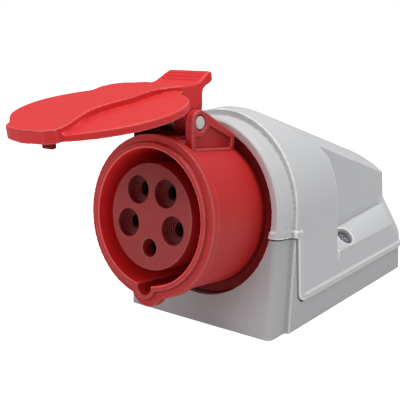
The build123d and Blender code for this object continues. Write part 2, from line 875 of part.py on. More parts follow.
with BuildPart() as lid:
    with BuildSketch(lid_plane.offset(lid_underside)):
        with Locations((0, -pin_above)):
            Circle(lid_radius)
    extrude(amount=lid_top - lid_underside)
    fillet(lid.faces().sort_by(Axis(pin_origin, lid_out))[-1].edges(), lid_edge_round)
    # Front tip that covers the keyway, deeper than the plate
    with BuildSketch(lid_plane.offset(lid_underside)):
        with BuildLine():
            rear = -pin_above - tip_from
            Polyline((tip_half, rear), *tip_corners(), (-tip_half, rear), close=True)
        make_face()
    extrude(amount=lid_top - lid_underside)
    # Raised flowing panel over the left half, from the thumb tail to the tip
    with BuildSketch(lid_plane.offset(lid_top - 1)):
        with BuildLine():
            bank = Spline(
                (arm_half, -crown_end),
                (0.17 * lid_radius, -0.23 * lid_radius),
                (0.06 * lid_radius, -0.37 * lid_radius),
                (0.08 * lid_radius, -0.67 * lid_radius),
                (0.05 * lid_radius, -1.02 * lid_radius),
                (0.09 * lid_radius, -1.36 * lid_radius),
                (0.23 * lid_radius, -1.72 * lid_radius),
                (0.32 * lid_radius, -1.92 * lid_radius),
                (tip_half, -2.08 * lid_radius),
            )
            front = Polyline(bank @ 1, *tip_corners())
            rim = Spline(
                front @ 1,
                (-0.5 * lid_radius, -1.96 * lid_radius),
                (-0.77 * lid_radius, -1.68 * lid_radius),
                (-0.98 * lid_radius, -1.14 * lid_radius),
                (-0.88 * lid_radius, -0.8 * lid_radius),
                (-0.73 * lid_radius, -0.57 * lid_radius),
            )
            shoulder = Spline(
                rim @ 1,
                (-0.75 * lid_radius, -0.35 * lid_radius),
                (-0.66 * lid_radius, -0.1 * lid_radius),
                (-arm_half, 0.03 * lid_radius),
                tangents=(rim % 1, (0.8, 0.6)),
            )
            Line(shoulder @ 1, bank @ 0)
        make_face()
    extrude(amount=panel_top - lid_top + 1)
    add(lid_arm.part)
    # Grip ridges across the tail
    with BuildSketch(lid_flank):
        with Locations(*ridge_places):
            Circle(ridge_radius)
    extrude(amount=arm_half - ridge_margin, both=True, mode=Mode.SUBTRACT)
    # Underside: recess for lip, keyway rib and seal
    with BuildSketch(lid_plane.offset(lid_ceiling)):
        with Locations((0, -pin_above)):
            Circle(recess_radius_lid)
        with Locations((0, -(pin_above + recess_foot) / 2)):
            RectangleRounded(2 * recess_half, recess_foot - pin_above, recess_corner)
    extrude(amount=lid_underside - lid_ceiling - 1, mode=Mode.SUBTRACT)
    # Nose that hooks over a plug
    with BuildSketch(lid_flank):
        with BuildLine():
            Polyline(
                (catch_near, lid_ceiling + 0.5),
                (catch_near + 1.6, lid_underside - catch_drop),
                (catch_far, lid_underside - catch_drop),
                (catch_far, lid_underside - catch_drop + 2.4),
                (catch_far - 1.4, lid_underside - catch_drop + 3.0),
                (catch_far - 1.4, lid_ceiling + 0.5),
                close=True,
            )
        make_face()
    extrude(amount=catch_half, both=True)
    # Bay for the spring, and the bore for the pin
    with BuildSketch(lid_flank):
        Circle(spring_bay_radius)
    extrude(amount=spring_bay_half, both=True, mode=Mode.SUBTRACT)
    with BuildSketch(lid_flank):
        Circle(pin_radius + hinge_running_clearance)
    extrude(amount=ear_outer, both=True, mode=Mode.SUBTRACT)
lid.part.label = "lid"
export_step(lid.part, "parts/lid.step")

with BuildPart() as lid_seal:
    with BuildSketch(lid_plane.offset(lid_ceiling)):
        with Locations((0, -pin_above)):
            Circle(recess_radius_lid)
        with Locations((0, -(pin_above + recess_foot) / 2)):
            RectangleRounded(2 * recess_half, recess_foot - pin_above, recess_corner)
        offset(amount=-lid_seal_width, mode=Mode.SUBTRACT)
    extrude(amount=lid_underside - lid_ceiling)
lid_seal.part.label = "lid_seal"
export_step(lid_seal.part, "parts/lid_seal.step")

# Torsion spring round the pin: one leg rests on the barrel, the other is short
coil_length = coil_pitch * coil_turns
spring_plane = Plane(
    origin=pin_origin + Vector(coil_length / 2, 0, 0),
    x_dir=axis_out * sin(radians(leg_dip)) - face_up * cos(radians(leg_dip)),
    z_dir=(-1, 0, 0),
)
with BuildPart() as coil_wire:
    with BuildLine():
        coil = Helix(coil_pitch, coil_length, coil_radius)
        low_leg = Line(coil @ 0 - (coil % 0) * barrel_leg, coil @ 0)
        Line(coil @ 1, coil @ 1 + (coil % 1) * lid_leg)
    with BuildSketch(Plane(origin=low_leg @ 0, z_dir=low_leg % 0)):
        Circle(wire_radius)
    sweep()

with BuildPart() as hinge_spring:
    add(coil_wire.part.moved(spring_plane.location))
hinge_spring.part.label = "hinge_spring"
export_step(hinge_spring.part, "parts/hinge_spring.step")

# Cable gland in the rear wall: hexagon outside, locknut inside
thread_end = -wall - locknut_thickness - 1.5
cap_end = gland_collar + gland_cap_length + gland_wall
seal_front = gland_collar + 1.5
seal_radius = cable_radius + gland_wall
cap_thread = thread_radius - 1


def entry_plane(distance):
    """Plane across the cable entry, a distance behind the rear wall."""
    return Plane(origin=(0, rear_end + distance, entry_height), x_dir=(-1, 0, 0), z_dir=(0, 1, 0))


with BuildPart() as gland_body:
    with BuildSketch(entry_plane(0)):
        RegularPolygon(gland_hex, 6, major_radius=False)
    extrude(amount=gland_collar)
    chamfer(gland_body.faces().sort_by(Axis.Y)[-1].edges(), 0.5)
    with BuildSketch(entry_plane(thread_end)):
        Circle(thread_radius)
    extrude(amount=-thread_end)
    with BuildSketch(entry_plane(gland_collar)):
        Circle(cap_thread)
    extrude(amount=gland_cap_length - 0.5)
    with BuildSketch(entry_plane(thread_end)):
        Circle(cable_radius + 1)
    extrude(amount=2 * base_length, mode=Mode.SUBTRACT)
    with BuildSketch(entry_plane(seal_front)):
        Circle(seal_radius + pin_clearance)
    extrude(amount=base_length, mode=Mode.SUBTRACT)
gland_body.part.label = "gland_body"
export_step(gland_body.part, "parts/gland_body.step")

with BuildPart() as gland_seal:
    with BuildSketch(entry_plane(seal_front)):
        Circle(seal_radius)
        Circle(cable_radius, mode=Mode.SUBTRACT)
    extrude(amount=gland_collar + gland_cap_length - seal_front)
gland_seal.part.label = "gland_seal"
export_step(gland_seal.part, "parts/gland_seal.step")

with BuildPart() as gland_cap:
    with BuildSketch(entry_plane(gland_collar + joint_gap)):
        RegularPolygon(gland_hex - 1, 6, major_radius=False)
    extrude(amount=cap_end - gland_collar - joint_gap)
    cap_rim = gland_cap.faces().sort_by(Axis.Y)[-1].edges()
    chamfer(cap_rim, 1.6)
    with BuildSketch(entry_plane(gland_collar)):
        Circle(cap_thread + pin_clearance)
    extrude(amount=gland_cap_length, mode=Mode.SUBTRACT)
    with BuildSketch(entry_plane(0)):
        Circle(cable_radius + 1)
    extrude(amount=base_length, mode=Mode.SUBTRACT)
gland_cap.part.label = "gland_cap"
export_step(gland_cap.part, "parts/gland_cap.step")

with BuildPart() as gland_locknut:
    with BuildSketch(entry_plane(-wall)):
        RegularPolygon(gland_hex + 1, 6, major_radius=False)
        Circle(thread_radius + pin_clearance, mode=Mode.SUBTRACT)
    extrude(amount=-locknut_thickness)
gland_locknut.part.label = "gland_locknut"
export_step(gland_locknut.part, "parts/gland_locknut.step")
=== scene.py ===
"""Looks of a splash-proof industrial wall socket, lying on its wall face with the lid open.

Everything is in metres in the frame of the solids: +Z leaves the wall, -Y is
the side that the mouth faces, X runs across the socket. The values that are
given in millimetres are multiplied by mm where they meet the frame.
"""
import json
from math import cos, radians, sin

import bmesh
import bpy
import numpy as np
from mathutils import Matrix, Vector


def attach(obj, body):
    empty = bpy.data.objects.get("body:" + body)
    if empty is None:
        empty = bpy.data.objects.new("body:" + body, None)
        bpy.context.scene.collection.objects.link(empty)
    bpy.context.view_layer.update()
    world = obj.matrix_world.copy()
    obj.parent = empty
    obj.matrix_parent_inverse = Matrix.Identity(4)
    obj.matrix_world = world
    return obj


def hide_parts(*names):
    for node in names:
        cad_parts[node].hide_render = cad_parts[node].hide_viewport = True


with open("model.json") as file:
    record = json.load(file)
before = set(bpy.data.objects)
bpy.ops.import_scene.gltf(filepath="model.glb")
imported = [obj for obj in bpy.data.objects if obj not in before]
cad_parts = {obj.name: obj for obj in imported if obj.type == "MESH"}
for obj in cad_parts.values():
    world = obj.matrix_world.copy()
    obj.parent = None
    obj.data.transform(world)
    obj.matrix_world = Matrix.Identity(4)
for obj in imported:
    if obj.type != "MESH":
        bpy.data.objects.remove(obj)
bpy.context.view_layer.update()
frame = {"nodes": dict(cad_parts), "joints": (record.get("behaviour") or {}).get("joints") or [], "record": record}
scene = bpy.context.scene
mm = 0.001

# Places of the mouth and the hinge
mounts = {mount["name"]: mount for mount in frame["record"]["mounts"]}
mouth_centre = np.array(mounts["plug_mouth"]["pos_m"])
axis_out = np.array(mounts["plug_mouth"]["axis"])
across = np.array([1.0, 0.0, 0.0])
face_up = np.cross(axis_out, across)
face_up *= np.sign(face_up[2])
lip_ahead = 38.3 * mm
axis_foot = mouth_centre - axis_out * lip_ahead
hinge_place = np.array(frame["joints"][0]["pos_m"])
lid_open = radians(76.5)
lid_forward = axis_out * sin(lid_open) - face_up * cos(lid_open)
lid_up = axis_out * cos(lid_open) + face_up * sin(lid_open)

# Screw pit in the right ledge, in millimetres; the left one is its mirror image
pit_place = np.array([40.4, 7.0, 30.4])
pit_axis = np.array([0.56, 0.0, 0.828])
pit_radius = 4.5
pit_depth = 2.6
mirror = np.array([-1.0, 1.0, 1.0])

# How convex a corner is, in shares of the lattice step, where painted shade in hollows and painted highlights on
# edges begin and become full
hollow_full = -0.12
hollow_start = -0.01
edge_start = 0.02
edge_full = 0.12


def linear(*srgb):
    """Colour from 0 to 255 values as linear light, with alpha 1."""
    part = np.array(srgb) / 255
    return (*np.where(part <= 0.04045, part / 12.92, ((part + 0.055) / 1.055) ** 2.4), 1.0)


def toned(colour, factor):
    """Colour multiplied by a factor, up to white."""
    return tuple(min(1.0, c * factor) for c in colour[:3]) + (1.0,)


# Materials

def new_material(name):
    """A node material with its main shader and Object coordinates."""
    material = bpy.data.materials.new(name)
    material.use_nodes = True
    tree = material.node_tree
    shader = tree.nodes["Principled BSDF"]
    place = tree.nodes.new("ShaderNodeTexCoord").outputs["Object"]
    return material, tree, shader, place


def noise(tree, place, scale, detail=2.0):
    """Noise over Object coordinates; scale counts features per metre."""
    grain = tree.nodes.new("ShaderNodeTexNoise")
    grain.inputs["Scale"].default_value = scale
    grain.inputs["Detail"].default_value = detail
    grain.inputs["Roughness"].default_value = 0.5
    tree.links.new(place, grain.inputs["Vector"])
    return grain.outputs["Fac"]


def span(tree, value, low, high):
    """The middle of a noise, 0.3 to 0.7, mapped to the span from low to high."""
    ramp = tree.nodes.new("ShaderNodeMapRange")
    ramp.inputs["From Min"].default_value = 0.3
    ramp.inputs["From Max"].default_value = 0.7
    ramp.inputs["To Min"].default_value = low
    ramp.inputs["To Max"].default_value = high
    tree.links.new(value, ramp.inputs["Value"])
    return ramp.outputs["Result"]


def tinted(tree, value, colour_a, colour_b):
    """Colour between two tones, by a 0 to 1 value."""
    mix = tree.nodes.new("ShaderNodeMix")
    mix.data_type = "RGBA"
    mix.inputs["A"].default_value = colour_a
    mix.inputs["B"].default_value = colour_b
    tree.links.new(value, mix.inputs["Factor"])
    return mix.outputs["Result"]


def relief(tree, height, strength, depth, rounding=0.0):
    """Bump from a height, over edges rounded by the given radius."""
    bump = tree.nodes.new("ShaderNodeBump")
    bump.inputs["Strength"].default_value = strength
    bump.inputs["Distance"].default_value = depth
    tree.links.new(height, bump.inputs["Height"])
    if rounding:
        bevel = tree.nodes.new("ShaderNodeBevel")
        bevel.samples = 4
        bevel.inputs["Radius"].default_value = rounding
        tree.links.new(bevel.outputs["Normal"], bump.inputs["Normal"])
    return bump.outputs["Normal"]


def between(tree, place, origin):
    """Vector from an origin to a point."""
    offset = tree.nodes.new("ShaderNodeVectorMath")
    offset.operation = "SUBTRACT"
    offset.inputs[1].default_value = tuple(origin)
    tree.links.new(place, offset.inputs[0])
    return offset.outputs["Vector"]


def along(tree, place, origin, axis):
    """Distance of a point from an origin, measured along an axis."""
    dot = tree.nodes.new("ShaderNodeVectorMath")
    dot.operation = "DOT_PRODUCT"
    dot.inputs[1].default_value = tuple(axis)
    tree.links.new(between(tree, place, origin), dot.inputs[0])
    return dot.outputs["Value"]


def length_of(tree, vector):
    """Length of a vector."""
    length = tree.nodes.new("ShaderNodeVectorMath")
    length.operation = "LENGTH"
    tree.links.new(vector, length.inputs[0])
    return length.outputs["Value"]


def fade(tree, value, start, end, low, high):
    """Smooth change from low at start to high at end."""
    ramp = tree.nodes.new("ShaderNodeMapRange")
    ramp.interpolation_type = "SMOOTHSTEP"
    ramp.inputs["From Min"].default_value = start
    ramp.inputs["From Max"].default_value = end
    ramp.inputs["To Min"].default_value = low
    ramp.inputs["To Max"].default_value = high
    tree.links.new(value, ramp.inputs["Value"])
    return ramp.outputs["Result"]


def combined(tree, operation, value_a, value_b):
    """One value from two, such as their product or the larger one."""
    result = tree.nodes.new("ShaderNodeMath")
    result.operation = operation
    tree.links.new(value_a, result.inputs[0])
    tree.links.new(value_b, result.inputs[1])
    return result.outputs[0]


def dimmed(tree, colour, value):
    """Colour multiplied by a value."""
    scaled = tree.nodes.new("ShaderNodeVectorMath")
    scaled.operation = "SCALE"
    tree.links.new(colour, scaled.inputs[0])
    tree.links.new(value, scaled.inputs["Scale"])
    return scaled.outputs["Vector"]


def with_painted_edge_light(tree, tone, colour, edge, crease):
    """Colour with painted highlights on rounded edges and painted shade in hollows, by the piece's edge_form."""
    measured = tree.nodes.new("ShaderNodeAttribute")
    measured.attribute_name = "edge_form"
    form = measured.outputs["Fac"]
    mix = tree.nodes.new("ShaderNodeMix")
    mix.data_type = "RGBA"
    mix.inputs["B"].default_value = tuple(c + (1 - c) * edge for c in tone[:3]) + (1.0,)
    tree.links.new(colour, mix.inputs["A"])
    tree.links.new(fade(tree, form, edge_start, edge_full, 0.0, 1.0), mix.inputs["Factor"])
    return dimmed(tree, mix.outputs["Result"], fade(tree, form, hollow_full, hollow_start, 1 - crease, 1.0))


def moulded_plastic(name, tone, roughness, shift=0.02, edge=0.0, crease=0.0, rounding=0.0, shade=None):
    """Injection-moulded plastic: soft flow clouds in the tone, a fine spark-eroded grain, satin gloss.

    shift is the clouds' share of the tone, edge paints highlights on the rounded edges,
    crease paints shade into the hollows between faces, and shade gives a factor of
    painted light and shade on the tone and the gloss by the place on the piece.
    """
    uneven = 0.05
    material, tree, shader, place = new_material(name)
    clouds = noise(tree, place, scale=45, detail=3.0)
    colour = tinted(tree, clouds, toned(tone, 1 - shift), toned(tone, 1 + shift))
    if edge or crease:
        colour = with_painted_edge_light(tree, tone, colour, edge, crease)
    if shade is not None:
        factor = shade(tree, place)
        colour = dimmed(tree, colour, factor)
        gloss = fade(tree, factor, start=0.0, end=1.0, low=0.0, high=0.5)
        tree.links.new(gloss, shader.inputs["Specular IOR Level"])
    tree.links.new(colour, shader.inputs["Base Color"])
    polish = span(tree, noise(tree, place, scale=260), roughness - uneven, roughness + uneven)
    tree.links.new(polish, shader.inputs["Roughness"])
    grain = noise(tree, place, scale=2600, detail=1.0)
    normal = relief(tree, grain, strength=0.08, depth=0.05 * mm, rounding=rounding)
    tree.links.new(normal, shader.inputs["Normal"])
    shader.inputs["IOR"].default_value = 1.5
    return material


def bare_metal(name, tone, roughness, rounding=0.15 * mm, shade=None):
    """Metal with fine tool marks, a slightly uneven polish and darker patches."""
    uneven = 0.07
    material, tree, shader, place = new_material(name)
    marks = noise(tree, place, scale=900)
    colour = tinted(tree, noise(tree, place, scale=300), toned(tone, factor=0.82), tone)
    if shade is not None:
        colour = dimmed(tree, colour, shade(tree, place))
    tree.links.new(colour, shader.inputs["Base Color"])
    tree.links.new(span(tree, marks, roughness - uneven, roughness + uneven), shader.inputs["Roughness"])
    normal = relief(tree, marks, strength=0.15, depth=0.03 * mm, rounding=rounding)
    tree.links.new(normal, shader.inputs["Normal"])
    shader.inputs["Metallic"].default_value = 1.0
    return material


def soft_rubber(name, tone):
    """Matt rubber with a faint bloom and fine pores."""
    material, tree, shader, place = new_material(name)
    bloom = tuple(c * 1.6 + 0.01 for c in tone[:3]) + (1.0,)
    clouds = noise(tree, place, scale=120, detail=3.0)
    tree.links.new(tinted(tree, clouds, tone, bloom), shader.inputs["Base Color"])
    polish = span(tree, noise(tree, place, scale=500), low=0.62, high=0.8)
    tree.links.new(polish, shader.inputs["Roughness"])
    pores = noise(tree, place, scale=3200)
    normal = relief(tree, pores, strength=0.2, depth=0.04 * mm, rounding=0.2 * mm)
    tree.links.new(normal, shader.inputs["Normal"])
    return material


def barrel_painted_shading(tree, place):
    """Painted shade on the bed between the hinge ears and in the joint behind the barrel, painted light on the
    wall in the mouth.

    A point is in the bed where it lies behind the rim, above the barrel and
    between the ears, so the largest of four fades is its factor.
    """
    # Tones of the painted shade in the bed and the joint, and of the painted light on the inner wall
    painted_bed_shade = 0.1
    painted_joint_shade = 0.5
    painted_inner_light = 1.9
    rim_back = (33.2 * mm, 34.6 * mm)
    barrel_top = (31.5 * mm, 33.5 * mm)
    right_ear = (12.0 * mm, 13.2 * mm)
    left_ear = (-16.6 * mm, -15.8 * mm)
    joint_end = (0.4 * mm, 2.2 * mm)
    inner_wall = (29.6 * mm, 30.1 * mm)
    ahead = along(tree, place, axis_foot, axis_out)
    height = along(tree, place, axis_foot, face_up)
    sideways = along(tree, place, (0, 0, 0), across)
    before = fade(tree, ahead, *rim_back, painted_bed_shade, 1.0)
    below = fade(tree, height, *barrel_top, 1.0, painted_bed_shade)
    right = fade(tree, sideways, *right_ear, painted_bed_shade, 1.0)
    left = fade(tree, sideways, *left_ear, 1.0, painted_bed_shade)
    lengthways = combined(tree, "MAXIMUM", before, below)
    crossways = combined(tree, "MAXIMUM", left, right)
    bed_shade_factor = combined(tree, "MAXIMUM", lengthways, crossways)
    spot = tree.nodes.new("ShaderNodeCombineXYZ")
    tree.links.new(sideways, spot.inputs["X"])
    tree.links.new(height, spot.inputs["Y"])
    inner_light_factor = fade(tree, length_of(tree, spot.outputs["Vector"]), *inner_wall, painted_inner_light, 1.0)
    joint_shade_factor = fade(tree, ahead, *joint_end, painted_joint_shade, 1.0)
    return combined(tree, "MULTIPLY", combined(tree, "MULTIPLY", bed_shade_factor, joint_shade_factor), inner_light_factor)


def brass_painted_shade(tree, place):
    """Painted shade on the sleeves' front ends, which are seen only down the contact holes."""
    ahead = along(tree, place, axis_foot, axis_out)
    return fade(tree, ahead, start=18 * mm, end=27 * mm, low=1.0, high=0.18)


def insert_painted_shade(tree, place):
    """Painted shade of the lid above: the insert darkens towards the lid."""
    height = along(tree, place, mouth_centre, face_up)
    return fade(tree, height, start=-2 * mm, end=22 * mm, low=1.0, high=0.66)


def lid_shade(tree, place):
    """Catch under the lid's front and knuckles between the ears, in the lid's own shadow."""
    height = along(tree, place, hinge_place, lid_up)
    reach = along(tree, place, hinge_place, lid_forward)
    catch = fade(tree, height, start=10.2 * mm, end=10.9 * mm, low=0.28, high=1.0)
    near = fade(tree, reach, start=40 * mm, end=50 * mm, low=1.0, high=0.0)
    knuckle = fade(tree, height, start=1 * mm, end=7 * mm, low=0.25, high=1.0)
    ahead_of_arm = fade(tree, reach, start=12 * mm, end=16 * mm, low=0.0, high=1.0)
    front = combined(tree, "MAXIMUM", catch, near)
    back = combined(tree, "MAXIMUM", knuckle, ahead_of_arm)
    return combined(tree, "MULTIPLY", front, back)


def cover_painted_shade(tree, place):
    """Painted shade on the floor and rim of the two screw pits."""
    inwards = 0.985
    right = length_of(tree, between(tree, place, Vector(pit_place) * mm * inwards))
    left = length_of(tree, between(tree, place, Vector(pit_place * mirror) * mm * inwards))
    nearer = combined(tree, "MINIMUM", right, left)
    return fade(tree, nearer, start=4.7 * mm, end=5.3 * mm, low=0.45, high=1.0)


# Shell and socket plastics, which have softened edges
# edge paints highlights on rounded edges, crease paints shade into hollows, and the shade functions paint light
# and shade by place
cover_grey = moulded_plastic(
    "cover_grey", linear(204, 205, 207), 0.55, shift=0.012, edge=0.75, crease=0.3, shade=cover_painted_shade
)
base_grey = moulded_plastic("base_grey", linear(185, 186, 188), 0.55, shift=0.012, edge=0.4, crease=0.25)
lid_red = moulded_plastic(
    "lid_red", linear(223, 35, 37), 0.55, edge=0.1, crease=0.15, shade=lid_shade
)
barrel_red = moulded_plastic(
    "barrel_red", linear(196, 36, 37), 0.5, edge=0.07, crease=0.35, shade=barrel_painted_shading
)
# The insert's red is a darker copy of the barrel's red, as painted shade inside the mouth
insert_red = moulded_plastic(
    "insert_red", linear(166, 42, 43), 0.5, edge=0.1, crease=0.3, shade=insert_painted_shade
)
# Hole linings: the insert's red made much darker, as painted shade deep in the holes
hole_red_in_painted_shade = moulded_plastic("hole_red_in_painted_shade", linear(112, 18, 20), 0.6)

# Small plastics, seals and metals
pin_grey = moulded_plastic("pin_grey", linear(214, 214, 212), 0.4, rounding=0.3 * mm)
gland_grey = moulded_plastic("gland_grey", linear(196, 197, 199), 0.45, rounding=0.4 * mm)
retainer_black = moulded_plastic("retainer_black", linear(44, 44, 46), 0.5, shift=0.05, rounding=0.3 * mm)
seal_black = soft_rubber("seal_black", linear(30, 30, 31))
zinc = bare_metal("zinc_plated_steel", linear(168, 170, 174), 0.34)
spring_steel = bare_metal("spring_steel", linear(180, 181, 184), 0.28, rounding=0.05 * mm)
dark_spring = bare_metal("blackened_spring", linear(70, 66, 66), 0.35, rounding=0.05 * mm)
brass = bare_metal("turned_brass", linear(205, 176, 110), 0.3, shade=brass_painted_shade)

finishes = {
    "housing_base": base_grey,
    "housing_cover": cover_grey,
    "cover_screws": zinc,
    "cover_seal": seal_black,
    "socket_body": barrel_red,
    "contact_carrier": insert_red,
    "contact_face": insert_red,
    "lid": lid_red,
    "lid_seal": seal_black,
    "hinge_pin": pin_grey,
    "hinge_spring": dark_spring,
    "flange_seal": seal_black,
    "sleeve_springs": spring_steel,
    "terminal_screws": zinc,
    "contact_retainer": retainer_black,
    "centre_screw": zinc,
    "carrier_screws": zinc,
    "gland_body": gland_grey,
    "gland_seal": seal_black,
    "gland_cap": gland_grey,
    "gland_locknut": gland_grey,
}


def dress(piece, material):
    """One material on every face of a piece."""
    piece.data.materials.clear()
    piece.data.materials.append(material)


for name, node in frame["nodes"].items():
    dress(node, finishes.get(name, brass))


# Moulded pieces: soft copies of the solids

def corners_of(mesh):
    """All corners of a mesh as an array of rows."""
    flat = np.zeros(len(mesh.vertices) * 3)
    mesh.vertices.foreach_get("co", flat)
    return flat.reshape(-1, 3)


def smooth_shaded(mesh):
    """Lets the light run smoothly over every face."""
    mesh.polygons.foreach_set("use_smooth", np.ones(len(mesh.polygons), bool))


def settled(piece):
    """Applies a piece's modifiers to its mesh."""
    graph = bpy.context.evaluated_depsgraph_get()
    mesh = bpy.data.meshes.new_from_object(piece.evaluated_get(graph))
    old = piece.data
    piece.modifiers.clear()
    piece.data = mesh
    bpy.data.meshes.remove(old)


def mark_edges(mesh):
    """Stores how convex the surface is at each corner, in shares of the lattice step.

    Each corner is set against the middle of its neighbours along its normal,
    and the result is averaged with the neighbours twice.
    """
    corners = corners_of(mesh)
    count = len(corners)
    ends = np.zeros(len(mesh.edges) * 2, dtype=np.int32)
    mesh.edges.foreach_get("vertices", ends)
    first, second = ends.reshape(-1, 2).T
    valence = np.maximum(np.bincount(ends, minlength=count), 1)

    def neighbour_mean(values):
        """Mean of a value over the corners that share an edge with each corner."""
        total = np.bincount(first, values[second], count) + np.bincount(second, values[first], count)
        return total / valence

    normals = np.zeros(count * 3)
    mesh.vertex_normals.foreach_get("vector", normals)
    normals = normals.reshape(-1, 3)
    middle = np.stack([neighbour_mean(corners[:, k]) for k in range(3)], axis=1)
    step = np.linalg.norm(corners[first] - corners[second], axis=1).mean()
    form = np.einsum("ij,ij->i", corners - middle, normals) / step
    for turn in range(2):
        form = (form + neighbour_mean(form)) / 2
    mesh.attributes.new("edge_form", "FLOAT", "POINT").data.foreach_set("value", form.astype(np.float32))


def rod(form, centre, axis, radius, length):
    """Adds a closed cylinder that ends at the centre and runs back along the axis."""
    turn = Vector((0, 0, 1)).rotation_difference(Vector(axis)).to_matrix().to_4x4()
    middle = Vector(centre) - Vector(axis) * length / 2
    bmesh.ops.create_cone(
        form,
        cap_ends=True,
        segments=48,
        radius1=radius,
        radius2=radius,
        depth=length,
        matrix=Matrix.Translation(middle) @ turn,
    )


def box_cutter(low, high):
    """Box between two corners, used as a cutting tool."""
    form = bmesh.new()
    middle = (Vector(low) + Vector(high)) / 2
    size = Vector(high) - Vector(low)
    bmesh.ops.create_cube(form, size=1.0, matrix=Matrix.Translation(middle) @ Matrix.Diagonal((*size, 1.0)))
    mesh = bpy.data.meshes.new("cutter")
    form.to_mesh(mesh)
    form.free()
    cutter = bpy.data.objects.new("cutter", mesh)
    scene.collection.objects.link(cutter)
    return cutter


def softened(node, body, lattice, passes, triangles, rods=(), cut=None, reshape=None):
    """A soft-edged stand-in for a solid.

    The solid's copy is merged, filled with rods and cut where asked, rebuilt on
    an even lattice, reshaped, and relaxed so that every edge turns into the
    small radius of a mould. Flat regions are thinned to the triangle count.
    """
    merge_distance = 0.001 * mm
    source = frame["nodes"][node]
    mesh = source.data.copy()
    form = bmesh.new()
    form.from_mesh(mesh)
    bmesh.ops.remove_doubles(form, verts=form.verts, dist=merge_distance)
    for centre, axis, radius, length in rods:
        rod(form, centre, axis, radius, length)
    form.to_mesh(mesh)
    form.free()
    piece = bpy.data.objects.new(node + "_moulded", mesh)
    scene.collection.objects.link(piece)
    if cut is not None:
        cutter = box_cutter(*cut)
        away_with = piece.modifiers.new("cut", "BOOLEAN")
        away_with.operation = "DIFFERENCE"
        away_with.object = cutter
        settled(piece)
        bpy.data.objects.remove(cutter)
    rebuild = piece.modifiers.new("even lattice", "REMESH")
    rebuild.mode = "VOXEL"
    rebuild.voxel_size = lattice * 1
    settled(piece)
    if reshape is not None:
        moved = reshape(corners_of(piece.data))
        piece.data.vertices.foreach_set("co", moved.ravel())
        piece.data.update()
    relax = piece.modifiers.new("relaxed edges", "SMOOTH")
    relax.factor = 0.5
    relax.iterations = passes
    settled(piece)
    mark_edges(piece.data)
    piece.data.calc_loop_triangles()
    share = triangles / max(1, len(piece.data.loop_triangles))
    if share < 1:
        thin = piece.modifiers.new("thinned flats", "DECIMATE")
        thin.ratio = share
    settled(piece)
    smooth_shaded(piece.data)
    dress(piece, finishes[node])
    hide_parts(node)
    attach(piece, body)


# New surfaces

def smooth_step(value, start, end):
    """0 up to the start, 1 from the end on, and 3 p squared less 2 p cubed for the part p between."""
    part = np.clip((value - start) / (end - start), 0, 1)
    return part * part * (3 - 2 * part)


def ring_faces(rings, turns):
    """Four-cornered faces between neighbouring rings of corners, closed round the turn."""
    row, turn = np.meshgrid(np.arange(rings - 1), np.arange(turns), indexing="ij")
    here = (row * turns + turn).ravel()
    beside = (row * turns + (turn + 1) % turns).ravel()
    return np.stack([here, here + turns, beside + turns, beside], axis=1)


def surface_piece(name, corners, faces, material, steepest):
    """A smooth piece of corners and faces, with a crease where faces meet at more than the steepest angle."""
    mesh = bpy.data.meshes.new(name)
    mesh.from_pydata(corners.reshape(-1, 3).tolist(), [], faces)
    smooth_shaded(mesh)
    mesh.set_sharp_from_angle(angle=radians(steepest))
    piece = bpy.data.objects.new(name, mesh)
    scene.collection.objects.link(piece)
    dress(piece, material)
    return piece


# Cover, in millimetres: sloping ledges rounded into shoulders, with a screw pit in each
flank_front = -5.6
rear_face = 57.5
rear_fade = 10.5
ledge_low = 16.5
ledge_high = 38.4
wall_half = 34.6
side_half = 44.4
solid_profile = ([-9.5, 19.3, 22.5, 38.5], [side_half, side_half, 43.5, wall_half])
skin_start = 2.2
skin_full = 0.8
outer_skin = 1.2
shoulder_foot = 26.6
crease_height = 33.8
crease_rise = 0.049
crease_place = 11.8
straight_share = 0.35
bent_share = 0.65
bend_power = 2.2
pit_wall = 0.5
pit_reach = 2.2


def shoulder_half(along_y, height):
    """Half width of the housing over its shoulders, by place along and height.

    The drop under the crease is 0.35 u + 0.65 u to the power 2.2 of the whole
    drop, where u runs from 0 at the crease to 1 at the side.
    """
    crease = crease_height + crease_rise * (along_y - crease_place)
    share = np.linspace(0, 1, 60)
    drop = straight_share * share + bent_share * share**bend_power
    part = np.clip((crease - height) / (crease - shoulder_foot), 0, 1)
    return wall_half + (side_half - wall_half) * np.interp(part, drop, share)


def with_shoulders(corners):
    """Moves the cover's ledge skin outwards to the shoulder and sinks the screw pits.

    The skin moves by the shoulder's half width less the solid's, times smooth
    steps through the wall and towards the rear. In a pit the skin drops to the
    floor, by a smooth step of the distance from the pit's axis.
    """
    x, y, z = (corners / mm).T.copy()
    side = np.where(x < 0, -1.0, 1.0)
    half = np.abs(x)
    solid = np.interp(z, *solid_profile)
    wanted = shoulder_half(y, z)
    skin = smooth_step(half, solid - skin_start, solid - skin_full)
    rear = 1 - smooth_step(y, rear_face - rear_fade, rear_face)
    zone = (y > flank_front) & (z > ledge_low) & (z < ledge_high)
    half = np.where(zone, half + (wanted - solid) * skin * rear, half)
    outer = zone & (half > wanted - outer_skin)
    moved = np.stack([half, y, z], axis=1)
    offset = moved - pit_place
    height = offset @ pit_axis
    reach = np.linalg.norm(offset - height[:, None] * pit_axis, axis=1)
    sink = outer & (height > -pit_reach)
    floor = -pit_depth * (1 - smooth_step(reach, pit_radius - pit_wall, pit_radius))
    wanted_height = np.where(reach < pit_radius, np.minimum(height, floor), height)
    moved += np.where(sink, wanted_height - height, 0.0)[:, None] * pit_axis
    moved[:, 0] *= side
    return moved * mm


